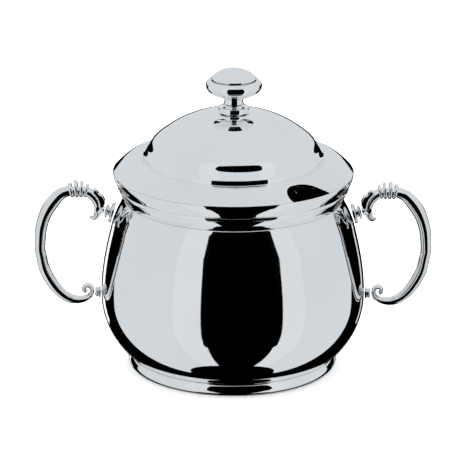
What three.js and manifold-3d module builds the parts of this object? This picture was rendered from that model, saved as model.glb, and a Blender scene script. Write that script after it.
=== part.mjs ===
// Covered two-handled sugar bowl in polished silver plate.
// Millimetres, +Z up. The origin is the centre of the foot's flat underside.
// +X runs through the right-hand handle, -Y is the front. Loose joints keep CLEAR between them.
import * as THREE from "three";
import * as BufferGeometryUtils from "three/addons/utils/BufferGeometryUtils.js";
import Module from "manifold-3d";

const wasm = await Module();
wasm.setup();

// ---------------------------------------------------------------- driving dimensions
const CLEAR = 0.3; // gap between two pieces that touch on the real bowl
const WALL = 0.9; // sheet thickness of the bowl and the lid
const AROUND = 36; // facets round the large turned pieces
const AROUND_KNOB = 20; // facets round the knob's pieces
const AROUND_SMALL = 12; // facets round the bosses and ribs
const CURVE_STEPS = 4; // straight steps along each curved stretch of an outline

const FOOT_R = 35.4; // foot ring: outer radius of the flat it rests on
const FOOT_INNER_R = 33.7;
const FOOT_BULGE_R = 37.9;
const FOOT_TOP_Z = 4.2;

const FLOOR_Z = 4.0; // underside of the bowl's floor
const BELLY_R = 47.9; // widest radius of the bowl
const BELLY_Z = 27.5;
const SHOULDER_R = 44.0;
const SHOULDER_Z = 53.0;
const NECK_R = 39.4;
const NECK_Z = 63.0;

const SLEEVE_R = 38.2; // the collar's sleeve, inside the neck
const MOUTH_R = 37.4; // clear radius of the mouth
const SLEEVE_Z = 60.8;
const RING_R = 41.8; // bead on top of the neck ring
const RING_TOP_Z = 68.4;
const RIM_R = 43.5; // the edge where the lid meets the collar
const SEAT_Z = 73.2;

const BRIM_Z = 78.1; // crest of the lid's sloping brim
const GROOVE_Z = 76.5; // bottom of the groove between brim and dome
const GROOVE_R = 34.1;
const DOME_R = 32.6; // the dome stands on a short upright wall
const DOME_FOOT_Z = 79.3;
const FLANK_R = 29.5; // top of the dome's steep flank
const FLANK_Z = 84.3;
const KNOB_SEAT_Z = 95.2; // flat crown under the knob
const BEZEL_R = 36.8; // locating ring under the lid
const BEZEL_BOTTOM_Z = 64.6;
const BEZEL_TOP_Z = 75.9;

const STUD_R = 1.4; // screw that holds the knob
const STUD_HOLE_R = 1.7;
const KNOB_FOOT_R = 5.6;
const KNOB_WAIST_R = 3.4;
const KNOB_R = 10.2;
const KNOB_CAP_R = 8.2;
const KNOB_TOP_Z = 111.6;

const NOTCH_TURN = 38.5; // degrees from the front towards +X
const HANDLE_WIDTH = 5.0; // across the arm, along Y
const BOSS_TILT = 15; // degrees that the upper boss points up
const BOSS_R = 42.8; // where the upper boss's axis meets the wall
const BOSS_Z = 57.0;
const LOWER_BOSS_Z = 26.9;

// ---------------------------------------------------------------- finishes
const polishedSilver = { color: 0xd8dadc, roughness: 0.06, metalness: 1.0 };
const castSilver = { color: 0xcfd1d2, roughness: 0.12, metalness: 1.0 };
const steel = { color: 0xa9abad, roughness: 0.3, metalness: 1.0 };

// ---------------------------------------------------------------- outlines and solids
// An outline is a start point and steps: [x, y] is a straight line, and
// [c1x, c1y, c2x, c2y, x, y] a curve with two control points.
function outline(start, steps, curveSteps = CURVE_STEPS) {
  const path = new THREE.Path();
  path.moveTo(...start);
  const points = [new THREE.Vector2(...start)];
  for (const step of steps) {
    const before = path.curves.length;
    if (step.length === 2) path.lineTo(...step);
    else path.bezierCurveTo(...step);
    const curve = path.curves[before];
    points.push(...curve.getPoints(step.length === 2 ? 1 : curveSteps).slice(1));
  }
  return points;
}

// Merges shared vertices, drops flat triangles and turns the faces outward.
function closed(geometry) {
  const bare = geometry.index ? geometry.clone() : geometry;
  bare.deleteAttribute("normal");
  bare.deleteAttribute("uv");
  const merged = BufferGeometryUtils.mergeVertices(bare, 1e-5);
  const index = merged.index.array;
  const position = merged.attributes.position;
  const corners = [new THREE.Vector3(), new THREE.Vector3(), new THREE.Vector3()];
  const kept = [];
  let volume = 0;
  for (let i = 0; i < index.length; i += 3) {
    const [a, b, c] = index.slice(i, i + 3);
    if (a === b || b === c || c === a) continue;
    [a, b, c].forEach((vertex, corner) => corners[corner].fromBufferAttribute(position, vertex));
    volume += corners[0].dot(corners[1].clone().cross(corners[2]));
    kept.push(a, b, c);
  }
  if (volume < 0) kept.reverse();
  merged.setIndex(kept);
  return merged;
}

// Turns a closed outline of [radius, height] points round the Z axis.
function turned(points, around = AROUND) {
  return closed(new THREE.LatheGeometry(points, around).rotateX(Math.PI / 2));
}

function toSolid(geometry) {
  return new wasm.Manifold(
    new wasm.Mesh({
      numProp: 3,
      vertProperties: new Float32Array(geometry.attributes.position.array),
      triVerts: new Uint32Array(geometry.index.array),
    }),
  );
}

function fromSolid(solid) {
  const mesh = solid.getMesh();
  const geometry = new THREE.BufferGeometry();
  geometry.setAttribute("position", new THREE.BufferAttribute(mesh.vertProperties, 3));
  geometry.setIndex(new THREE.BufferAttribute(mesh.triVerts, 1));
  return geometry;
}

function joined(geometries) {
  return fromSolid(geometries.map(toSolid).reduce((whole, piece) => whole.add(piece)));
}

function cut(geometry, cutters) {
  return fromSolid(cutters.map(toSolid).reduce((rest, cutter) => rest.subtract(cutter), toSolid(geometry)));
}

// Extrudes a flat outline in the XZ plane, centred on Y = 0.
function plate(points, width, bevel = 0) {
  const shape = new THREE.Shape(points);
  const geometry = new THREE.ExtrudeGeometry(shape, {
    depth: width - 2 * bevel,
    bevelEnabled: bevel > 0,
    bevelThickness: bevel,
    bevelSize: bevel,
    bevelOffset: -bevel,
    bevelSegments: 1,
  });
  geometry.translate(0, 0, -width / 2 + bevel);
  return closed(geometry.rotateX(Math.PI / 2));
}

// Moves a geometry that is turned about Z onto an axis in the XZ plane.
function onAxis(geometry, x, z, tiltDegrees) {
  geometry.rotateY(THREE.MathUtils.degToRad(tiltDegrees - 90));
  return geometry.translate(x, 0, z);
}

// ---------------------------------------------------------------- bowl
function bowlShell() {
  const outer = outline([0, FLOOR_Z], [
    [32, FLOOR_Z],
    [34.6, FLOOR_Z, 35.8, FLOOR_Z, 36.9, FLOOR_Z + 0.7],
    [41.0, 8.0, BELLY_R, 15.5, BELLY_R, BELLY_Z],
    [BELLY_R, 37.5, 45.6, 46.5, SHOULDER_R, SHOULDER_Z],
    [SHOULDER_R - 0.8, SHOULDER_Z + 3.3, NECK_R + 1.3, NECK_Z - 2.2, NECK_R, NECK_Z],
  ]);
  const inner = outline([NECK_R - WALL, NECK_Z], [
    [NECK_R - WALL, NECK_Z - 0.8],
    [NECK_R + 0.4, NECK_Z - 2.8, SHOULDER_R - 1.7, SHOULDER_Z + 3.0, SHOULDER_R - WALL, SHOULDER_Z - 0.2],
    [44.7, 46.3, BELLY_R - WALL, 37.4, BELLY_R - WALL, BELLY_Z],
    [BELLY_R - WALL, 15.9, 40.4, 8.8, 36.2, FLOOR_Z + 1.4],
    [35.3, FLOOR_Z + WALL, 34.4, FLOOR_Z + WALL, 32, FLOOR_Z + WALL],
    [0, FLOOR_Z + WALL],
  ]);
  return turned([...outer, ...inner]);
}

function footRing() {
  const points = outline([FOOT_INNER_R, 0], [
    [FOOT_R, 0],
    [FOOT_R + 1.4, 0.1, FOOT_BULGE_R, 1.1, FOOT_BULGE_R, 2.3],
    [FOOT_BULGE_R, 3.2, FOOT_BULGE_R - 0.4, 3.9, 36.9, FOOT_TOP_Z],
    [36.5, FOOT_TOP_Z],
    [35.7, FLOOR_Z - CLEAR],
    [FOOT_INNER_R, FLOOR_Z - CLEAR],
    [FOOT_INNER_R, 0],
  ], 3);
  return turned(points);
}

function neckRing() {
  const bottom = NECK_Z + CLEAR;
  const beadZ = RING_TOP_Z - 1.5;
  const bore = SLEEVE_R + CLEAR;
  return turned(outline([bore, bottom], [
    [NECK_R + 0.1, bottom],
    [NECK_R + 0.9, bottom + 1.2, RING_R - 0.7, beadZ - 1.0, RING_R - 0.4, beadZ],
    [RING_R, beadZ + 0.3],
    [RING_R + 0.05, beadZ + 0.6, RING_R + 0.05, beadZ + 1.0, RING_R - 0.1, beadZ + 1.35],
    [RING_R - 0.4, RING_TOP_Z],
    [bore, RING_TOP_Z],
    [bore, bottom],
  ], 3));
}

// The mouth: a sleeve soldered inside the neck, the rounded flare, and the lid's flat seat.
function mouthCollar() {
  const flareZ = RING_TOP_Z + CLEAR;
  return turned(outline([MOUTH_R, SLEEVE_Z], [
    [SLEEVE_R, SLEEVE_Z],
    [SLEEVE_R, flareZ],
    [RIM_R - 1.5, flareZ],
    [RIM_R - 0.9, flareZ + 1.2, RIM_R - 0.1, flareZ + 2.5, RIM_R - 0.05, SEAT_Z - 0.6],
    [RIM_R, SEAT_Z],
    [RIM_R - 1.6, SEAT_Z],
    [RIM_R - 1.7, SEAT_Z - 1.7, RIM_R - 2.2, flareZ + 1.7, RIM_R - 2.6, flareZ + WALL],
    [MOUTH_R, flareZ + WALL],
    [MOUTH_R, SLEEVE_Z],
  ], 3));
}

// ---------------------------------------------------------------- lid
// Cutter that runs outward from the axis over the spoon notch's turn.
// Its outline is [tangential offset, height].
function notchCutter(points, fromRadius, toRadius) {
  const geometry = new THREE.ExtrudeGeometry(new THREE.Shape(points), {
    depth: toRadius - fromRadius,
    bevelEnabled: false,
  });
  geometry.translate(0, 0, fromRadius);
  geometry.rotateX(Math.PI / 2);
  return closed(geometry.rotateZ(THREE.MathUtils.degToRad(NOTCH_TURN)));
}

function lidShell() {
  const edgeZ = SEAT_Z + CLEAR;
  const outer = outline([RIM_R, edgeZ], [
    [41.8, 75.2, 39.7, 77.2, 37.7, BRIM_Z - 0.15],
    [37.2, BRIM_Z + 0.05, 36.5, BRIM_Z + 0.05, 36.1, BRIM_Z - 0.35],
    [35.4, 77.0, 34.9, GROOVE_Z, GROOVE_R, GROOVE_Z],
    [33.3, GROOVE_Z, 32.9, 76.9, DOME_R + 0.15, 77.4],
    [DOME_R, DOME_FOOT_Z],
    [32.1, 79.75, 31.6, 80.7, 31.0, 81.6],
    [30.5, 82.3, 30.1, 83.3, FLANK_R, FLANK_Z],
    [28.8, 85.4, 26.5, 87.1, 24.5, 88.5],
    [20.6, 91.4, 14.5, 94.2, 10, 94.9],
    [8.4, 95.15, 7.2, KNOB_SEAT_Z, 6.2, KNOB_SEAT_Z],
    [STUD_HOLE_R, KNOB_SEAT_Z],
  ]);
  const inner = outline([STUD_HOLE_R, KNOB_SEAT_Z - WALL], [
    [6.2, KNOB_SEAT_Z - WALL],
    [7.2, KNOB_SEAT_Z - WALL, 8.3, 94.25, 9.8, 94.0],
    [14.2, 93.3, 20.1, 90.7, 24.0, 87.8],
    [26.0, 86.3, 28.0, 84.9, FLANK_R - 0.8, FLANK_Z - 0.4],
    [29.6, 82.4, 30.9, 80.2, DOME_R - WALL, DOME_FOOT_Z - 0.3],
    [DOME_R - 0.75, 77.4],
    [31.95, 76.3, 32.8, GROOVE_Z - WALL, GROOVE_R, GROOVE_Z - WALL],
    [35.2, GROOVE_Z - WALL, 35.9, 76.3, 36.6, BRIM_Z - 1.0],
    [37.2, BRIM_Z - 0.95],
    [39.2, 76.2, 41.1, 74.6, RIM_R - 1.25, edgeZ],
    [RIM_R, edgeZ],
  ]);
  // Rounded at its left end, where the spoon's stem lies, and tapering to the right.
  const notch = outline([-6.6, SEAT_Z - 1], [
    [-7.1, edgeZ],
    [-8.5, edgeZ + 1.5, -8.1, edgeZ + 4.15, -3.4, edgeZ + 4.2],
    [0.6, edgeZ + 4.3, 3.2, edgeZ + 3.6, 5.3, edgeZ + 2.55],
    [7.2, edgeZ + 1.5, 8.8, edgeZ + 0.7, 10.2, edgeZ - 0.2],
    [10.8, SEAT_Z - 1],
  ], 4);
  return cut(turned([...outer, ...inner]), [notchCutter(notch, 36.85, 50)]);
}

// The locating ring, open where the spoon's stem passes.
function lidBezel() {
  const innerR = BEZEL_R - WALL;
  const ring = turned(outline([innerR, BEZEL_BOTTOM_Z + 0.4], [
    [innerR + 0.3, BEZEL_BOTTOM_Z],
    [BEZEL_R - 0.3, BEZEL_BOTTOM_Z],
    [BEZEL_R, BEZEL_BOTTOM_Z + 0.4],
    [BEZEL_R, BEZEL_TOP_Z],
    [innerR, BEZEL_TOP_Z],
    [innerR, BEZEL_BOTTOM_Z + 0.4],
  ]));
  const gap = outline([-7, BEZEL_BOTTOM_Z - 2], [
    [-7, BEZEL_TOP_Z + 2],
    [7, BEZEL_TOP_Z + 2],
    [7, BEZEL_BOTTOM_Z - 2],
  ]);
  return cut(ring, [notchCutter(gap, 30, 42)]);
}

// ---------------------------------------------------------------- knob
const KNOB_BASE_Z = KNOB_SEAT_Z + CLEAR;
const KNOB_BASE_TOP_Z = 98.4;
const KNOB_STEM_TOP_Z = 100.7;
const KNOB_WIDE_Z = 105.4; // where the bun is widest
const KNOB_CAP_Z = 107.6;

function knobBase() {
  return turned(outline([STUD_HOLE_R, KNOB_BASE_Z], [
    [KNOB_FOOT_R - 0.2, KNOB_BASE_Z],
    [KNOB_FOOT_R, KNOB_BASE_Z + 0.2],
    [KNOB_FOOT_R, KNOB_BASE_Z + 1.6],
    [KNOB_FOOT_R, KNOB_BASE_Z + 2.0, 5.3, KNOB_BASE_Z + 2.0, 5.0, KNOB_BASE_Z + 2.05],
    [4.2, KNOB_BASE_Z + 2.3, 3.9, KNOB_BASE_Z + 2.6, 3.8, KNOB_BASE_TOP_Z],
    [STUD_HOLE_R, KNOB_BASE_TOP_Z],
    [STUD_HOLE_R, KNOB_BASE_Z],
  ], 3), AROUND_KNOB);
}

function knobStem() {
  const bottom = KNOB_BASE_TOP_Z + CLEAR;
  return turned(outline([STUD_HOLE_R, bottom], [
    [KNOB_WAIST_R + 0.3, bottom],
    [KNOB_WAIST_R + 0.1, bottom + 0.4, KNOB_WAIST_R, bottom + 0.8, KNOB_WAIST_R, bottom + 1.2],
    [KNOB_WAIST_R + 0.2, KNOB_STEM_TOP_Z],
    [STUD_HOLE_R, KNOB_STEM_TOP_Z],
    [STUD_HOLE_R, bottom],
  ], 3), AROUND_KNOB);
}

function knobBun() {
  const bottom = KNOB_STEM_TOP_Z + CLEAR;
  const socketZ = KNOB_CAP_Z - 2.0; // the cap is set into a shallow socket
  return turned(outline([STUD_HOLE_R, bottom], [
    [KNOB_WAIST_R + 0.4, bottom],
    [6.4, bottom + 0.4, KNOB_R, bottom + 2.1, KNOB_R, KNOB_WIDE_Z - CLEAR],
    [KNOB_R, KNOB_WIDE_Z + 1.1, 9.3, KNOB_CAP_Z - 0.25, KNOB_CAP_R + 0.1, KNOB_CAP_Z - 0.1],
    [KNOB_CAP_R - 0.2, KNOB_CAP_Z - 0.4],
    [KNOB_CAP_R - 0.2, socketZ],
    [STUD_HOLE_R, socketZ],
    [STUD_HOLE_R, bottom],
  ], 4), AROUND_KNOB);
}

function knobCap() {
  const tongueR = KNOB_CAP_R - 0.2 - CLEAR;
  const tongueZ = KNOB_CAP_Z - 2.0 + CLEAR;
  return turned(outline([0, tongueZ], [
    [tongueR, tongueZ],
    [tongueR, KNOB_CAP_Z + 0.2],
    [KNOB_CAP_R - 0.1, KNOB_CAP_Z + 0.35],
    [6.8, KNOB_CAP_Z + 2.4, 3.3, KNOB_TOP_Z, 0, KNOB_TOP_Z],
  ], 6), AROUND_KNOB);
}

const KNOB_SCREW_TOP_Z = KNOB_CAP_Z - 2.4;
const WASHER_TOP_Z = KNOB_SEAT_Z - WALL - CLEAR;
const WASHER_THICKNESS = 0.7;
const SCREW_HEAD_THICKNESS = 1.5;

function knobWasher() {
  return turned(outline([STUD_HOLE_R, WASHER_TOP_Z - WASHER_THICKNESS], [
    [4.2, WASHER_TOP_Z - WASHER_THICKNESS],
    [4.2, WASHER_TOP_Z],
    [STUD_HOLE_R, WASHER_TOP_Z],
    [STUD_HOLE_R, WASHER_TOP_Z - WASHER_THICKNESS],
  ]), AROUND_SMALL);
}

function knobScrew() {
  const headTopZ = WASHER_TOP_Z - WASHER_THICKNESS - CLEAR;
  const headBottomZ = headTopZ - SCREW_HEAD_THICKNESS;
  const body = turned(outline([0, headBottomZ], [
    [2.4, headBottomZ],
    [2.8, headBottomZ + 0.4],
    [2.8, headTopZ],
    [STUD_R, headTopZ],
    [STUD_R, KNOB_SCREW_TOP_Z - 0.4],
    [STUD_R - 0.4, KNOB_SCREW_TOP_Z],
    [0, KNOB_SCREW_TOP_Z],
  ]), AROUND_SMALL);
  const driverSlot = closed(new THREE.BoxGeometry(8, 0.8, 1.2).translate(0, 0, headBottomZ));
  return cut(body, [driverSlot]);
}

// ---------------------------------------------------------------- handles (drawn at -X)
const ARM = [ // centre line of the C-shaped arm, knuckle to lower scroll, as [x, z]
  [-52.2, 64.8], [-55.9, 65.5], [-60.0, 65.1], [-63.6, 63.1], [-66.2, 60.0],
  [-68.2, 56.2], [-69.5, 51.5], [-70.1, 46.2], [-69.8, 41.0], [-68.4, 35.4],
  [-65.6, 30.2], [-62.2, 26.4], [-58.6, 24.2], [-55.0, 24.1], [-52.6, 25.4],
];
const KNUCKLE_RIBS = [ // centre x, radius, half thickness
  [-58.5, 2.9, 0.65],
  [-56.6, 3.3, 0.75],
  [-54.5, 3.1, 0.75],
  [-52.9, 2.6, 0.6],
];

function armSweep() {
  const centre = new THREE.CatmullRomCurve3(ARM.map(([x, z]) => new THREE.Vector3(x, 0, z)));
  const section = new THREE.Shape();
  section.absellipse(0, 0, 2.0, HANDLE_WIDTH / 2, 0, 2 * Math.PI);
  const geometry = new THREE.ExtrudeGeometry(section, {
    steps: 30,
    curveSegments: 4,
    extrudePath: centre,
  });
  return closed(geometry);
}

function knuckle() {
  return KNUCKLE_RIBS.map(([x, radius, half]) => {
    const rib = turned(outline([0, -half], [
      [radius - 0.5, -half],
      [radius + 0.1, -half * 0.6, radius + 0.1, half * 0.6, radius - 0.5, half],
      [0, half],
    ], 3), AROUND_SMALL);
    return onAxis(rib, x, 65.3, 0);
  });
}

// The leaf-shaped end of the arm: a claw that curls into the finger gap, and the lug behind it.
function clawAndLug() {
  const claw = outline([-53.5, 66.9], [
    [-51.4, 66.7, -49.0, 64.6, -48.1, 60.8],
    [-47.8, 58.4, -48.2, 55.9, -49.8, 54.5],
    [-51.4, 54.4],
    [-51.7, 55.3],
    [-50.5, 55.9, -49.9, 57.2, -50.0, 59.0],
    [-50.1, 61.0, -51.4, 62.9, -53.5, 63.6],
  ], 4);
  const lug = outline([-51.0, 63.5], [
    [-50.5, 66.0],
    [-49.2, 65.6],
    [-47.4, 63.8],
    [-46.2, 61.7],
    [-46.4, 60.7],
    [-48.2, 59.6],
  ]);
  return [plate(claw, 4.4, 0.5), plate(lug, 3.6, 0.4)];
}

// Flared cup between the claw and the upper boss, on the boss's axis.
function upperCup() {
  const cup = turned(outline([0, 4.0], [
    [1.3, 4.0],
    [1.5, 5.2, 2.3, 5.6, 2.4, 6.6],
    [2.2, 7.6],
    [0, 7.6],
  ], 4), AROUND_SMALL);
  return onAxis(cup, -BOSS_R, BOSS_Z, BOSS_TILT);
}

// The arm's lower end curls up and back on itself.
function scroll() {
  const turn = outline([-53.6, 23.0], [
    [-51.6, 23.6, -50.4, 25.4, -50.6, 27.2],
    [-50.8, 29.4, -52.4, 30.3, -53.6, 30.2],
    [-55.0, 30.0, -55.9, 28.6, -55.5, 27.0],
    [-55.3, 26.6, -55.2, 26.4, -55.0, 26.2],
    [-54.4, 26.6],
    [-54.7, 27.2, -54.7, 27.9, -54.3, 28.4],
    [-53.8, 29.0, -52.8, 29.0, -52.1, 28.2],
    [-51.7, 27.4, -52.0, 26.6, -53.0, 25.9],
    [-53.8, 25.3],
    [-55.6, 25.0],
    [-55.6, 23.0],
  ], 4);
  return plate(turn, 4.0);
}

function handle() {
  return joined([armSweep(), ...knuckle(), ...clawAndLug(), upperCup(), scroll()]);
}

// Turned boss soldered to the shoulder: a broad disc, a short core and a thin disc.
function upperBoss() {
  const points = outline([0, 0.5], [
    [3.5, 0.5],
    [3.8, 0.8, 3.8, 1.4, 3.5, 1.7],
    [1.6, 1.9],
    [1.5, 2.4],
    [2.4, 2.6],
    [2.6, 2.9, 2.6, 3.2, 2.3, 3.4],
    [1.3, 3.7],
    [0, 3.7],
  ], 3);
  return onAxis(turned(points, AROUND_SMALL), -BOSS_R, BOSS_Z, BOSS_TILT);
}

// Ringed boss at the belly, level with the lower scroll.
function lowerBoss() {
  const points = outline([0, 0.25], [
    [2.1, 0.25],
    [2.1, 0.8],
    [1.6, 1.0],
    [1.6, 1.3],
    [1.95, 1.5, 1.95, 1.8, 1.6, 2.0],
    [1.5, 2.3],
    [0, 2.3],
  ], 3);
  return onAxis(turned(points, AROUND_SMALL), -BELLY_R, LOWER_BOSS_Z, 0);
}

// ---------------------------------------------------------------- the assembly
const group = new THREE.Group();

function add(name, geometry, finish, mirrored = false) {
  const shown = geometry.clone();
  if (mirrored) shown.rotateZ(Math.PI);
  shown.computeVertexNormals();
  const mesh = new THREE.Mesh(shown, new THREE.MeshStandardMaterial(finish));
  mesh.name = name;
  group.add(mesh);
}

add("bowl_shell", bowlShell(), polishedSilver);
add("foot_ring", footRing(), polishedSilver);
add("neck_ring", neckRing(), polishedSilver);
add("mouth_collar", mouthCollar(), polishedSilver);
add("lid_shell", lidShell(), polishedSilver);
add("lid_bezel", lidBezel(), polishedSilver);
add("knob_base", knobBase(), polishedSilver);
add("knob_stem", knobStem(), polishedSilver);
add("knob_bun", knobBun(), polishedSilver);
add("knob_cap", knobCap(), polishedSilver);
add("knob_washer", knobWasher(), steel);
add("knob_screw", knobScrew(), steel);

for (const [side, mirrored] of [["left", false], ["right", true]]) {
  add(`${side}_handle`, handle(), castSilver, mirrored);
  add(`${side}_upper_boss`, upperBoss(), castSilver, mirrored);
  add(`${side}_lower_boss`, lowerBoss(), castSilver, mirrored);
}

export default group;
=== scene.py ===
import math

import bmesh
import bpy
from mathutils import Matrix, Vector
from mathutils.geometry import interpolate_bezier


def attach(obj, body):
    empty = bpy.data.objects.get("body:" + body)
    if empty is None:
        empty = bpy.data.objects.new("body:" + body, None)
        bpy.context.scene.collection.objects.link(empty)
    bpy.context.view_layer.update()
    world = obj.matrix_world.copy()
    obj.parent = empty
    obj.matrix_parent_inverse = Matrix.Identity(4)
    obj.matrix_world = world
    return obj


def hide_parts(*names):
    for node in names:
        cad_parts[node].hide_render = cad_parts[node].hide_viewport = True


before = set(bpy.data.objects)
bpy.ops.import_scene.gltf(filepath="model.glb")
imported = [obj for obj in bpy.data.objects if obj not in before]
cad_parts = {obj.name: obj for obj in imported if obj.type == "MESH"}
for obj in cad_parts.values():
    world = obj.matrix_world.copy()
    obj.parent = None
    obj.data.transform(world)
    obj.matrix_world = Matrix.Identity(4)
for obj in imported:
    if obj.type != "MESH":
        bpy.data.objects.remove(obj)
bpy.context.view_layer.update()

MM = 0.001  # outlines below are in millimetres, each point a radius or an x with its height
FULL_TURN = math.tau

# ---------------------------------------------------------------- driving dimensions (mm)
WALL = 0.9  # thickness of the spun sheet
FLOOR_Z = 4.0  # underside of the bowl's floor
BELLY_R = 47.9
NECK_R = 39.4
NECK_Z = 63.0
RIM_R = 43.5
SEAT_Z = 73.2  # the flat on the collar that the lid rests on
LID_Z = 73.25  # underside of the lid's brim
KNOB_SEAT_Z = 95.2
KNOB_BORE_R = 1.7  # clearance hole for the screw
NOTCH_TURN = 38.5  # the spoon notch, in degrees from the front towards +X

BOSS_TILT = 15  # the upper bosses point this many degrees above level
BOSS_R = 42.8  # where the upper bosses' axes leave the shoulder
BOSS_Z = 57.0
LOWER_BOSS_Z = 26.9  # the lower bosses stand level on the belly

# ---------------------------------------------------------------- fineness of the meshes
AROUND = 256
AROUND_KNOB = 128
AROUND_SMALL = 48
CURVE_STEPS = 20
STATION_STEPS = 6
MERGE = 1e-7  # metres


# ---------------------------------------------------------------- outlines
def outline(start, steps, curve_steps=CURVE_STEPS):
    """Points of an outline.

    A step of two numbers is a straight line to that point. A step of six is a curve: its two
    control points and its end.
    """
    points = [Vector(start)]
    for step in steps:
        if len(step) == 2:
            points.append(Vector(step))
            continue
        first, second, end = Vector(step[:2]), Vector(step[2:4]), Vector(step[4:])
        curve = interpolate_bezier(points[-1], first, second, end, curve_steps + 1)
        points.extend(curve[1:])
    return points


# ---------------------------------------------------------------- mesh tools
def cleaned(bm):
    """Merges doubles and turns every face outwards."""
    bmesh.ops.remove_doubles(bm, verts=bm.verts, dist=MERGE)
    bmesh.ops.dissolve_degenerate(bm, edges=bm.edges, dist=MERGE)
    bmesh.ops.recalc_face_normals(bm, faces=bm.faces)
    return bm


def eased(bm, width, angle=40, segments=2):
    """Rounds every corner sharper than the angle, as polishing does."""
    limit = math.radians(angle)
    corners = [e for e in bm.edges if len(e.link_faces) == 2 and e.calc_face_angle() > limit]
    bmesh.ops.bevel(
        bm,
        geom=corners,
        offset=width * MM,
        offset_type="OFFSET",
        affect="EDGES",
        segments=segments,
        profile=0.5,
        clamp_overlap=True,
        material=-1,
    )
    return bm


def turned(points, around, ease):
    """Spins an outline of [radius, height] points a full turn about Z, then eases its corners."""
    bm = bmesh.new()
    verts = [bm.verts.new((radius * MM, 0, height * MM)) for radius, height in points]
    edges = [bm.edges.new(pair) for pair in zip(verts, verts[1:])]
    bmesh.ops.spin(
        bm,
        geom=verts + edges,
        cent=(0, 0, 0),
        axis=(0, 0, 1),
        angle=FULL_TURN,
        steps=around,
        use_merge=True,
    )
    cleaned(bm)
    if ease:
        eased(bm, ease)
    return bm


def slab(points, from_y, to_y):
    """A flat outline of [x, height] points, extruded along Y."""
    bm = bmesh.new()
    face = bm.faces.new([bm.verts.new((x * MM, from_y * MM, z * MM)) for x, z in points])
    grown = bmesh.ops.extrude_face_region(bm, geom=[face], use_keep_orig=True)
    far = [item for item in grown["geom"] if isinstance(item, bmesh.types.BMVert)]
    bmesh.ops.translate(bm, vec=(0, (to_y - from_y) * MM, 0), verts=far)
    return cleaned(bm)


def on_axis(bm, x, z, tilt):
    """Lays a piece turned about Z on an axis that points towards -X, tilted up by some degrees."""
    turn = Matrix.Rotation(math.radians(tilt - 90), 4, "Y")
    place = Matrix.Translation((x * MM, 0, z * MM))
    bmesh.ops.transform(bm, matrix=place @ turn, verts=bm.verts)
    return bm


def round_section(steps=32):
    angles = [FULL_TURN * i / steps for i in range(steps)]
    return [(math.cos(angle), math.sin(angle)) for angle in angles]


def swept(stations):
    """Carries an oval along stations of (x, z, half thickness, half width) and caps both ends."""
    bm = bmesh.new()
    places = []
    across = Vector((0, 1, 0))
    for i, (x, z, thick, wide) in enumerate(stations):
        before = stations[max(i - 1, 0)]
        after = stations[min(i + 1, len(stations) - 1)]
        along = Vector((after[0] - before[0], 0, after[1] - before[1])).normalized()
        outward = across.cross(along)
        oval = Matrix((outward * thick * MM, across * wide * MM, along * MM)).transposed()
        places.append(Matrix.Translation((x * MM, 0, z * MM)) @ oval.to_4x4())
    ring = [bm.verts.new((u, v, 0)) for u, v in round_section()]
    loop = [bm.edges.new((a, b)) for a, b in zip(ring, ring[1:] + ring[:1])]
    bmesh.ops.transform(bm, matrix=places[0], verts=ring)
    bm.faces.new(ring)
    for here, there in zip(places, places[1:]):
        grown = bmesh.ops.extrude_edge_only(bm, edges=loop)["geom"]
        ring = [item for item in grown if isinstance(item, bmesh.types.BMVert)]
        lines = [item for item in grown if isinstance(item, bmesh.types.BMEdge)]
        loop = [line for line in lines if all(vert in ring for vert in line.verts)]
        bmesh.ops.transform(bm, matrix=there @ here.inverted(), verts=ring)
    bmesh.ops.holes_fill(bm, edges=loop, sides=0)
    return cleaned(bm)


def smooth_run(knots):
    """A smooth run of stations through the knots, in place and thickness alike."""
    smooth = []
    for i in range(len(knots) - 1):
        before = Vector(knots[max(i - 1, 0)])
        start, end = Vector(knots[i]), Vector(knots[i + 1])
        after = Vector(knots[min(i + 2, len(knots) - 1)])
        lead = end - before
        bend = 2 * before - 5 * start + 4 * end - after
        twist = 3 * start - before - 3 * end + after
        for step in range(STATION_STEPS):
            t = step / STATION_STEPS
            smooth.append(0.5 * (2 * start + lead * t + bend * t**2 + twist * t**3))
    smooth.append(Vector(knots[-1]))
    return smooth


def as_object(bm, name, smooth_angle=30):
    mesh = bpy.data.meshes.new(name)
    bm.to_mesh(mesh)
    bm.free()
    mesh.shade_smooth()
    mesh.set_sharp_from_angle(angle=math.radians(smooth_angle))
    obj = bpy.data.objects.new(name, mesh)
    bpy.context.scene.collection.objects.link(obj)
    return obj


def combined(first, others, operation, name, smooth_angle=30):
    """Joins the other solids to the first, or cuts them from it, and keeps one clean mesh."""
    base = as_object(first, name)
    for i, other in enumerate(others):
        tool = as_object(other, f"{name}_tool_{i}")
        step = base.modifiers.new("cut", "BOOLEAN")
        step.operation = operation
        step.solver = "EXACT"
        step.object = tool
        worked = base.evaluated_get(bpy.context.evaluated_depsgraph_get())
        made = bpy.data.meshes.new_from_object(worked)
        base.modifiers.clear()
        old = base.data
        base.data = made
        bpy.data.meshes.remove(old)
        bpy.data.meshes.remove(tool.data)
    made = base.data
    made.name = name
    made.shade_smooth()
    made.set_sharp_from_angle(angle=math.radians(smooth_angle))
    return base


# ---------------------------------------------------------------- finishes
PATCHES_PER_METRE = 38
WIPE_DEPTH = 0.00002  # metres


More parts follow.
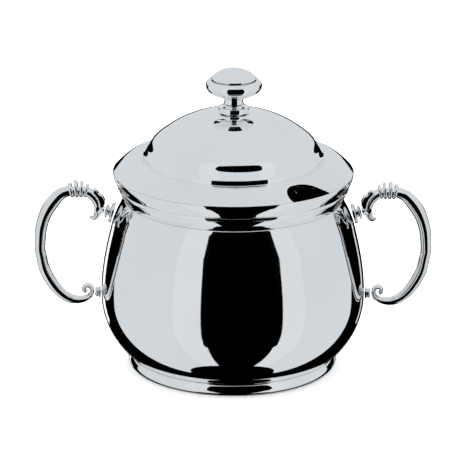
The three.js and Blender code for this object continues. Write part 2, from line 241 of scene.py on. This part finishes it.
def silver(name, tone, dull, roughness, rough_spread, bump, grain):
    """Silver plate: a clean tone with faint duller patches, uneven polish and fine wipe marks."""
    mat = bpy.data.materials.new(name)
    mat.use_nodes = True
    nodes, links = mat.node_tree.nodes, mat.node_tree.links
    nodes.clear()
    out = nodes.new("ShaderNodeOutputMaterial")
    shader = nodes.new("ShaderNodeBsdfPrincipled")
    shader.inputs["Metallic"].default_value = 1.0
    links.new(shader.outputs[0], out.inputs["Surface"])
    place = nodes.new("ShaderNodeTexCoord")

    patches = nodes.new("ShaderNodeTexNoise")
    patches.inputs["Scale"].default_value = PATCHES_PER_METRE
    patches.inputs["Detail"].default_value = 3
    links.new(place.outputs["Object"], patches.inputs["Vector"])

    colour = nodes.new("ShaderNodeValToRGB")
    colour.color_ramp.elements[0].position = 0.30
    colour.color_ramp.elements[0].color = (*dull, 1)
    colour.color_ramp.elements[1].position = 0.62
    colour.color_ramp.elements[1].color = (*tone, 1)
    links.new(patches.outputs["Fac"], colour.inputs["Fac"])
    links.new(colour.outputs["Color"], shader.inputs["Base Color"])

    polish = nodes.new("ShaderNodeMapRange")
    polish.inputs["From Min"].default_value = 0.3
    polish.inputs["From Max"].default_value = 0.7
    polish.inputs["To Min"].default_value = roughness + rough_spread
    polish.inputs["To Max"].default_value = roughness
    links.new(patches.outputs["Fac"], polish.inputs["Value"])
    links.new(polish.outputs["Result"], shader.inputs["Roughness"])

    wipes = nodes.new("ShaderNodeTexNoise")
    wipes.inputs["Scale"].default_value = grain
    wipes.inputs["Detail"].default_value = 4
    wipes.inputs["Distortion"].default_value = 1.2
    links.new(place.outputs["Object"], wipes.inputs["Vector"])
    relief = nodes.new("ShaderNodeBump")
    relief.inputs["Strength"].default_value = bump
    relief.inputs["Distance"].default_value = WIPE_DEPTH
    links.new(wipes.outputs["Fac"], relief.inputs["Height"])
    links.new(relief.outputs["Normal"], shader.inputs["Normal"])
    return mat


polished_silver = silver(
    "polished_silver",
    tone=(0.94, 0.945, 0.95),
    dull=(0.90, 0.905, 0.905),
    roughness=0.02,
    rough_spread=0.03,
    bump=0.06,
    grain=900,
)
cast_silver = silver(
    "cast_silver",
    tone=(0.93, 0.935, 0.94),
    dull=(0.82, 0.82, 0.815),
    roughness=0.06,
    rough_spread=0.06,
    bump=0.12,
    grain=1400,
)
steel = silver(
    "screw_steel",
    tone=(0.58, 0.58, 0.59),
    dull=(0.45, 0.45, 0.45),
    roughness=0.28,
    rough_spread=0.12,
    bump=0.25,
    grain=1800,
)


def finished(obj, mat, body, slot, *nodes):
    """Gives a piece its finish and body, and lets it stand for its CAD nodes."""
    obj.data.materials.clear()
    obj.data.materials.append(mat)
    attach(obj, body)
    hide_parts(*nodes)
    return obj


# ---------------------------------------------------------------- bowl
def bowl_shell():
    inner_belly_r = BELLY_R - WALL
    inner_floor_z = FLOOR_Z + WALL
    return turned(outline([0, FLOOR_Z], [
        [32, FLOOR_Z],
        [34.6, FLOOR_Z, 35.8, FLOOR_Z, 36.9, 4.7],
        [41.0, 8.0, BELLY_R, 15.5, BELLY_R, 27.5],
        [BELLY_R, 37.5, 45.6, 46.5, 44.0, 53.0],
        [43.2, 56.3, 40.7, 60.8, NECK_R, NECK_Z],
        [NECK_R - WALL, NECK_Z],
        [NECK_R - WALL, 62.2],
        [39.8, 60.2, 42.3, 56.0, 43.1, 52.8],
        [44.7, 46.3, inner_belly_r, 37.4, inner_belly_r, 27.5],
        [inner_belly_r, 15.9, 40.4, 8.8, 36.2, 5.4],
        [35.3, inner_floor_z, 34.4, inner_floor_z, 32, inner_floor_z],
        [0, inner_floor_z],
    ], curve_steps=24), AROUND, ease=0.15)


def foot_ring():
    return turned(outline([33.7, 0], [
        [35.4, 0],
        [36.8, 0.1, 37.9, 1.1, 37.9, 2.3],
        [37.85, 3.2, 37.4, 3.9, 37.0, 4.4],
        [36.6, 4.45],
        [35.7, 3.95],
        [33.7, 3.95],
        [33.7, 0],
    ], curve_steps=10), AROUND, ease=0.15)


def neck_ring():
    return turned(outline([38.5, 63.05], [
        [39.4, 63.05],
        [40.3, 64.5, 41.1, 65.9, 41.4, 66.9],
        [41.8, 67.2],
        [41.85, 67.5, 41.85, 67.9, 41.7, 68.25],
        [41.4, 68.4],
        [38.5, 68.4],
        [38.5, 63.05],
    ], curve_steps=10), AROUND, ease=0.1)


def mouth_collar():
    return turned(outline([37.4, 60.8], [
        [38.2, 60.8],
        [38.2, 68.45],
        [41.9, 68.45],
        [42.6, 69.9, 43.4, 71.2, 43.45, 72.6],
        [RIM_R, SEAT_Z],
        [41.9, SEAT_Z],
        [41.8, 71.5, 41.3, 70.4, 40.9, 69.6],
        [37.4, 69.6],
        [37.4, 60.8],
    ], curve_steps=12), AROUND, ease=0.08)


# ---------------------------------------------------------------- lid
def notch_cutter(points, from_radius, to_radius):
    """A slab of [across, height] points that runs outward through the lid at the spoon notch."""
    bm = slab(points, -from_radius, -to_radius)
    turn = Matrix.Rotation(math.radians(NOTCH_TURN), 4, "Z")
    bmesh.ops.transform(bm, matrix=turn, verts=bm.verts)
    return bm


def lid_shell():
    shell = turned(outline([RIM_R, LID_Z], [
        [41.8, 75.1, 39.7, 77.2, 37.7, 77.95],
        [37.2, 78.15, 36.5, 78.15, 36.1, 77.75],
        [35.4, 77.0, 34.9, 76.5, 34.1, 76.5],
        [33.3, 76.5, 32.9, 76.9, 32.75, 77.4],
        [32.6, 79.3],
        [32.1, 79.75, 31.65, 80.6, 31.05, 81.5],
        [30.5, 82.2, 30.05, 83.3, 29.45, 84.25],
        [28.75, 85.35, 26.5, 87.1, 24.5, 88.5],
        [20.6, 91.4, 14.5, 94.2, 10, 94.9],
        [8.4, 95.15, 7.2, KNOB_SEAT_Z, 6.2, KNOB_SEAT_Z],
        [KNOB_BORE_R, KNOB_SEAT_Z],
        [KNOB_BORE_R, 94.3],
        [6.2, 94.3],
        [7.2, 94.3, 8.3, 94.25, 9.8, 94.0],
        [14.2, 93.3, 20.1, 90.7, 24.0, 87.8],
        [26.0, 86.3, 28.0, 84.9, 28.7, 83.9],
        [29.6, 82.4, 30.9, 80.2, 31.7, 79.0],
        [31.85, 77.4],
        [31.95, 76.3, 32.8, 75.6, 34.1, 75.6],
        [35.2, 75.6, 35.9, 76.3, 36.6, 77.1],
        [37.2, 77.15],
        [39.2, 76.2, 41.1, 74.6, 42.25, LID_Z],
        [RIM_R, LID_Z],
    ], curve_steps=16), AROUND, ease=0.08)
    notch = outline([-6.6, 72.2], [
        [-7.1, 73.5],
        [-8.5, 75.0, -8.1, 77.65, -3.4, 77.7],
        [0.6, 77.8, 3.2, 77.1, 5.3, 76.05],
        [7.2, 75.0, 8.8, 74.2, 10.2, 73.3],
        [10.8, 72.2],
    ], curve_steps=12)
    cutter = notch_cutter(notch, from_radius=36.85, to_radius=50)
    return combined(shell, [cutter], "DIFFERENCE", "lid_shell_visual")


def lid_bezel():
    ring = turned(outline([35.9, 65.0], [
        [36.2, 64.6],
        [36.5, 64.6],
        [36.8, 65.0],
        [36.8, 75.9],
        [35.9, 75.9],
        [35.9, 65.0],
    ]), AROUND, ease=0.1)
    gap = [Vector(corner) for corner in ((-7, 62.6), (-7, 77.9), (7, 77.9), (7, 62.6))]
    cutter = notch_cutter(gap, from_radius=30, to_radius=42)
    return combined(ring, [cutter], "DIFFERENCE", "lid_bezel_visual")


# ---------------------------------------------------------------- knob
def knob_base():
    return turned(outline([KNOB_BORE_R, 95.5], [
        [5.4, 95.5],
        [5.6, 95.7],
        [5.6, 97.1],
        [5.6, 97.5, 5.3, 97.5, 5.0, 97.55],
        [4.2, 97.8, 3.9, 98.1, 3.8, 98.4],
        [KNOB_BORE_R, 98.4],
        [KNOB_BORE_R, 95.5],
    ], curve_steps=14), AROUND_KNOB, ease=0.1)


def knob_stem():
    return turned(outline([KNOB_BORE_R, 98.7], [
        [3.7, 98.7],
        [3.5, 99.1, 3.4, 99.5, 3.4, 99.9],
        [3.6, 100.7],
        [KNOB_BORE_R, 100.7],
        [KNOB_BORE_R, 98.7],
    ], curve_steps=12), AROUND_KNOB, ease=0.06)


def knob_bun():
    return turned(outline([KNOB_BORE_R, 101.0], [
        [3.8, 101.0],
        [6.4, 101.4, 10.2, 103.1, 10.2, 105.1],
        [10.2, 106.5, 9.3, 107.35, 8.3, 107.5],
        [8.0, 107.2],
        [8.0, 105.6],
        [KNOB_BORE_R, 105.6],
        [KNOB_BORE_R, 101.0],
    ], curve_steps=18), AROUND_KNOB, ease=0.08)


def knob_cap():
    return turned(outline([0, 105.9], [
        [7.7, 105.9],
        [7.7, 107.8],
        [8.1, 107.95],
        [6.8, 110.0, 3.3, 111.6, 0, 111.6],
    ], curve_steps=20), AROUND_KNOB, ease=0.08)


def knob_washer():
    return turned(outline([KNOB_BORE_R, 93.3], [
        [4.2, 93.3],
        [4.2, 94.0],
        [KNOB_BORE_R, 94.0],
        [KNOB_BORE_R, 93.3],
    ]), AROUND_SMALL, ease=0.1)


def knob_screw():
    head_z = 91.5
    body = turned(outline([0, head_z], [
        [2.4, head_z],
        [2.8, 91.9],
        [2.8, 93.0],
        [1.4, 93.0],
        [1.4, 104.8],
        [1.0, 105.2],
        [0, 105.2],
    ]), AROUND_SMALL, ease=0.08)
    slot = bmesh.new()
    bmesh.ops.create_cube(slot, size=1)
    bmesh.ops.scale(slot, vec=(8 * MM, 0.8 * MM, 1.2 * MM), verts=slot.verts)
    bmesh.ops.translate(slot, vec=(0, 0, head_z * MM), verts=slot.verts)
    return combined(body, [slot], "DIFFERENCE", "knob_screw_visual")


# ---------------------------------------------------------------- handles, drawn at -X
# Stations are x, z, half thickness, half width.
# The C-shaped arm runs from the knuckle to the volute.
ARM = [
    (-54.5, 65.2, 1.6, 2.2), (-58.0, 65.4, 1.75, 2.35), (-60.4, 65.0, 1.95, 2.5), (-63.1, 63.5, 2.25, 2.6),
    (-66.2, 59.7, 2.5, 2.7), (-68.1, 56.2, 2.32, 2.6), (-69.2, 52.8, 2.2, 2.5), (-69.8, 49.6, 2.15, 2.5),
    (-70.1, 43.7, 2.0, 2.5), (-69.7, 41.0, 2.0, 2.5), (-68.4, 35.2, 2.05, 2.5), (-65.5, 29.8, 2.0, 2.45),
    (-62.4, 26.2, 1.8, 2.4), (-59.3, 24.3, 1.65, 2.3), (-56.6, 23.8, 1.4, 2.2), (-54.0, 24.2, 1.15, 2.1),
    (-52.0, 25.4, 0.95, 2.05), (-51.35, 27.0, 0.85, 2.0), (-51.7, 28.6, 0.8, 2.0), (-52.9, 29.3, 0.75, 2.0),
    (-54.0, 28.7, 0.75, 2.0), (-54.2, 27.5, 0.75, 1.95), (-53.3, 26.9, 0.65, 1.9),
]
# The claw curls down from the knuckle and its tip hooks back towards the arm.
CLAW = [
    (-54.6, 65.3, 1.6, 2.3), (-52.6, 64.9, 1.75, 2.4), (-50.9, 63.6, 1.75, 2.4), (-49.6, 61.8, 1.65, 2.3),
    (-49.0, 59.8, 1.5, 2.2), (-48.9, 57.8, 1.25, 2.0), (-49.3, 56.3, 1.1, 1.8), (-50.2, 55.3, 0.95, 1.5),
    (-51.3, 55.2, 0.7, 1.2), (-51.7, 55.5, 0.45, 0.8),
]
KNUCKLE_RIBS = [  # x, z, radius, half thickness, lean in degrees
    (-58.6, 65.6, 2.9, 0.62, 14),
    (-56.8, 66.1, 3.3, 0.66, 5),
    (-54.9, 66.0, 3.2, 0.66, -4),
    (-53.2, 65.5, 2.7, 0.55, -14),
]


def arm():
    return swept(smooth_run(ARM))


def knuckle():
    ribs = []
    for x, z, radius, half, lean in KNUCKLE_RIBS:
        edge_r = radius - 0.5
        swell_r = radius + 0.12
        rib = turned(outline([0, -half], [
            [edge_r, -half],
            [swell_r, -half * 0.6, swell_r, half * 0.6, edge_r, half],
            [0, half],
        ], curve_steps=10), AROUND_SMALL, ease=0)
        ribs.append(on_axis(rib, x, z, -lean))
    return ribs


def claw():
    return swept(smooth_run(CLAW))


def lug():
    flat = slab(outline([-51.0, 63.5], [
        [-50.5, 66.0],
        [-49.8, 66.1, -49.5, 65.9, -49.2, 65.6],
        [-48.9, 64.4, -48.2, 64.1, -47.4, 63.8],
        [-46.3, 61.8],
        [-46.3, 60.7],
        [-47.0, 59.5],
        [-48.8, 58.9],
    ], curve_steps=8), from_y=-1.7, to_y=1.7)
    return eased(flat, 0.3, angle=50, segments=3)


def upper_cup():
    return on_axis(turned(outline([0, 4.0], [
        [1.3, 4.0],
        [1.5, 5.2, 2.3, 5.6, 2.4, 6.6],
        [2.2, 7.6],
        [0, 7.6],
    ], curve_steps=10), AROUND_SMALL, ease=0.1), -BOSS_R, BOSS_Z, BOSS_TILT)


def handle():
    castings = [*knuckle(), claw(), lug(), upper_cup()]
    return combined(arm(), castings, "UNION", "left_handle_visual", smooth_angle=38)


def upper_boss():
    return on_axis(turned(outline([0, 0.5], [
        [3.5, 0.5],
        [3.8, 0.8, 3.8, 1.4, 3.5, 1.7],
        [1.6, 1.9],
        [1.5, 2.4],
        [2.4, 2.6],
        [2.6, 2.9, 2.6, 3.2, 2.3, 3.4],
        [1.3, 3.7],
        [0, 3.7],
    ], curve_steps=8), AROUND_SMALL, ease=0.08), -BOSS_R, BOSS_Z, BOSS_TILT)


def lower_boss():
    return on_axis(turned(outline([0, 0.25], [
        [2.1, 0.25],
        [2.1, 0.8],
        [1.6, 1.0],
        [1.6, 1.3],
        [1.95, 1.5, 1.95, 1.8, 1.6, 2.0],
        [1.5, 2.3],
        [0, 2.3],
    ], curve_steps=8), AROUND_SMALL, ease=0.08), -BELLY_R, LOWER_BOSS_Z, 0)


def half_turned(obj, name):
    """A copy of a left-hand piece, turned half round the bowl's axis to the right-hand side."""
    mesh = obj.data.copy()
    mesh.name = name
    mesh.transform(Matrix.Rotation(math.pi, 4, "Z"))
    copy = bpy.data.objects.new(name, mesh)
    bpy.context.scene.collection.objects.link(copy)
    return copy


# ---------------------------------------------------------------- the assembly
BOWL_SPINNINGS = {
    "bowl_shell": bowl_shell,
    "foot_ring": foot_ring,
    "neck_ring": neck_ring,
    "mouth_collar": mouth_collar,
}
for node, make in BOWL_SPINNINGS.items():
    piece = as_object(make(), f"{node}_visual")
    finished(piece, polished_silver, "bowl", "polished_silver", node)

finished(lid_shell(), polished_silver, "lid", "polished_silver", "lid_shell")
finished(lid_bezel(), polished_silver, "lid", "polished_silver", "lid_bezel")

KNOB_TURNINGS = {
    "knob_base": knob_base,
    "knob_stem": knob_stem,
    "knob_bun": knob_bun,
    "knob_cap": knob_cap,
}
for node, make in KNOB_TURNINGS.items():
    piece = as_object(make(), f"{node}_visual")
    finished(piece, polished_silver, "lid", "polished_silver", node)
finished(as_object(knob_washer(), "knob_washer_visual"), steel, "lid", "steel", "knob_washer")
finished(knob_screw(), steel, "lid", "steel", "knob_screw")

LEFT_CASTINGS = {
    "handle": handle(),
    "upper_boss": as_object(upper_boss(), "left_upper_boss_visual"),
    "lower_boss": as_object(lower_boss(), "left_lower_boss_visual"),
}
for part, obj in LEFT_CASTINGS.items():
    right = half_turned(obj, f"right_{part}_visual")
    finished(obj, cast_silver, "bowl", "cast_silver", f"left_{part}")
    finished(right, cast_silver, "bowl", "cast_silver", f"right_{part}")


# ---------------------------------------------------------------- studio (metres)
# A pale grey tent with black flags and pale cards, which the polished metal mirrors as its
# dark and light bands.
STUDIO_Z = 0.045  # the cards and screens are set round the bowl's middle
CARD_DISTANCE = 1.1
CARD_FOOT = -5.0  # cards run far down, so that the belly mirrors them as far as the foot
FRONT_HALF = 0.77  # half the front flag's width
FRONT_TOP = 1.139
FRONT_TURN = 8  # degrees from the front towards +X
BACK_TURN = 143
FILL_DISTANCE = 1.7
STRIP_DISTANCE = 1.0
SCREEN_STEP = 2  # degrees


def glow(name, colour, strength):
    """A material that gives an even light of its own."""
    mat = bpy.data.materials.new(name)
    mat.use_nodes = True
    nodes, links = mat.node_tree.nodes, mat.node_tree.links
    nodes.clear()
    out = nodes.new("ShaderNodeOutputMaterial")
    light = nodes.new("ShaderNodeEmission")
    light.inputs["Color"].default_value = (*colour, 1)
    light.inputs["Strength"].default_value = strength
    links.new(light.outputs[0], out.inputs["Surface"])
    return mat


def glossy_only(obj, mat):
    """A studio surface that only the polished metal sees."""
    obj.data.materials.append(mat)
    obj.visible_camera = False
    obj.visible_diffuse = False
    obj.visible_shadow = False
    obj.visible_transmission = False
    return obj


def screen(name, mat, turn_from, turn_to, low, high, distance):
    """A part of a sphere round the bowl.

    Its sides are in degrees from the front towards +X, its foot and top in degrees above level.
    """
    bm = bmesh.new()
    steps = max(2, round((high - low) / SCREEN_STEP))
    rises = [math.radians(low + (high - low) * i / steps) for i in range(steps + 1)]
    verts = [
        bm.verts.new((0, -distance * math.cos(rise), distance * math.sin(rise))) for rise in rises
    ]
    edges = [bm.edges.new(pair) for pair in zip(verts, verts[1:])]
    bmesh.ops.rotate(bm, matrix=Matrix.Rotation(math.radians(turn_from), 3, "Z"), verts=verts)
    bmesh.ops.spin(
        bm,
        geom=verts + edges,
        cent=(0, 0, 0),
        axis=(0, 0, 1),
        angle=math.radians(turn_to - turn_from),
        steps=max(4, round((turn_to - turn_from) / SCREEN_STEP)),
        use_merge=False,
    )
    bmesh.ops.translate(bm, vec=(0, 0, STUDIO_Z), verts=bm.verts)
    return glossy_only(as_object(bm, name), mat)


def card(name, mat, edge, turn):
    """A flat upright card that faces the bowl; its edge is a run of [across, up] points."""
    bm = bmesh.new()
    bm.faces.new([bm.verts.new((across, -CARD_DISTANCE, up)) for across, up in edge])
    bmesh.ops.rotate(bm, matrix=Matrix.Rotation(math.radians(turn), 3, "Z"), verts=bm.verts)
    bmesh.ops.translate(bm, vec=(0, 0, STUDIO_Z), verts=bm.verts)
    return glossy_only(as_object(bm, name), mat)


black = glow("black_flag", (0, 0, 0), 0)
white = glow("white_card", (1, 1, 1), 1.1)
pale = glow("pale_card", (0.735, 0.765, 0.79), 1)

card("front_flag", black, outline([-FRONT_HALF, CARD_FOOT], [
    [-FRONT_HALF, 1.02],
    [-FRONT_HALF, 1.10, -0.73, FRONT_TOP, -0.60, FRONT_TOP],
    [0.60, FRONT_TOP],
    [0.73, FRONT_TOP, FRONT_HALF, 1.10, FRONT_HALF, 1.02],
    [FRONT_HALF, CARD_FOOT],
]), FRONT_TURN)
back_flag_edge = outline([-0.38, CARD_FOOT], [[-0.38, 0.14], [0.45, 0.02], [0.45, CARD_FOOT]])
mirrored_edge = [Vector((-across, up)) for across, up in reversed(back_flag_edge)]
card("back_left_flag", black, mirrored_edge, -BACK_TURN)
card("back_right_flag", black, back_flag_edge, BACK_TURN)
screen("back_flag", black, 165, 195, -89.5, 0, CARD_DISTANCE)
screen("left_fill", pale, -52, -24, -85, 58, FILL_DISTANCE)
screen("right_fill", pale, 40, 64, -85, 58, FILL_DISTANCE)
screen("rear_left_strip", white, -158, -148, -26, -7, STRIP_DISTANCE)
screen("rear_right_strip", pale, 150, 155, -26, -7, STRIP_DISTANCE)

floor_flag = bmesh.new()
bmesh.ops.create_circle(
    floor_flag,
    cap_ends=True,
    segments=96,
    radius=0.37,
    matrix=Matrix.Translation((0, 0, -1.02)),
)
glossy_only(as_object(floor_flag, "floor_flag"), black)

# The white room lights the table; the polished metal sees the grey tent instead.
scene = bpy.context.scene
world = bpy.data.worlds.new("studio")
scene.world = world
world.use_nodes = True
nodes, links = world.node_tree.nodes, world.node_tree.links
nodes.clear()
ray = nodes.new("ShaderNodeLightPath")
room = nodes.new("ShaderNodeBackground")
room.inputs["Color"].default_value = (1, 1, 1, 1)
room.inputs["Strength"].default_value = 2.4
tent = nodes.new("ShaderNodeBackground")
tent.inputs["Color"].default_value = (0.68, 0.715, 0.745, 1)
tent.inputs["Strength"].default_value = 1
pick = nodes.new("ShaderNodeMixShader")
result = nodes.new("ShaderNodeOutputWorld")
links.new(ray.outputs["Is Glossy Ray"], pick.inputs["Fac"])
links.new(room.outputs[0], pick.inputs[1])
links.new(tent.outputs[0], pick.inputs[2])
links.new(pick.outputs[0], result.inputs["Surface"])

table = bmesh.new()
bmesh.ops.create_circle(table, cap_ends=True, segments=96, radius=4.0)
floor = as_object(table, "table_top")
table_white = bpy.data.materials.new("table_white")
table_white.use_nodes = True
table_shader = table_white.node_tree.nodes["Principled BSDF"]
table_shader.inputs["Base Color"].default_value = (0.92, 0.92, 0.92, 1)
table_shader.inputs["Roughness"].default_value = 0.9
table_shader.inputs["Specular IOR Level"].default_value = 0
floor.data.materials.append(table_white)
floor.visible_glossy = False

# ---------------------------------------------------------------- camera
VIEW_DISTANCE = 1.4
VIEW_RISE = math.radians(18)
VIEW_ROLL = math.radians(0.3)
VIEW_LENS = 302
LOOK_AT = Vector((-0.0011, 0, 0.0507))
to_camera = Vector((0, -math.cos(VIEW_RISE), math.sin(VIEW_RISE)))
camera_data = bpy.data.cameras.new("camera")
camera_data.lens = VIEW_LENS
camera_data.sensor_width = 36
camera_data.clip_start = 0.05
camera_data.clip_end = 50
camera = bpy.data.objects.new("camera", camera_data)
scene.collection.objects.link(camera)
camera.matrix_world = (
    Matrix.Translation(LOOK_AT + to_camera * VIEW_DISTANCE)
    @ (-to_camera).to_track_quat("-Z", "Y").to_matrix().to_4x4()
    @ Matrix.Rotation(VIEW_ROLL, 4, "Z")
)
scene.camera = camera
scene.view_settings.view_transform = "Standard"
scene.view_settings.look = "None"
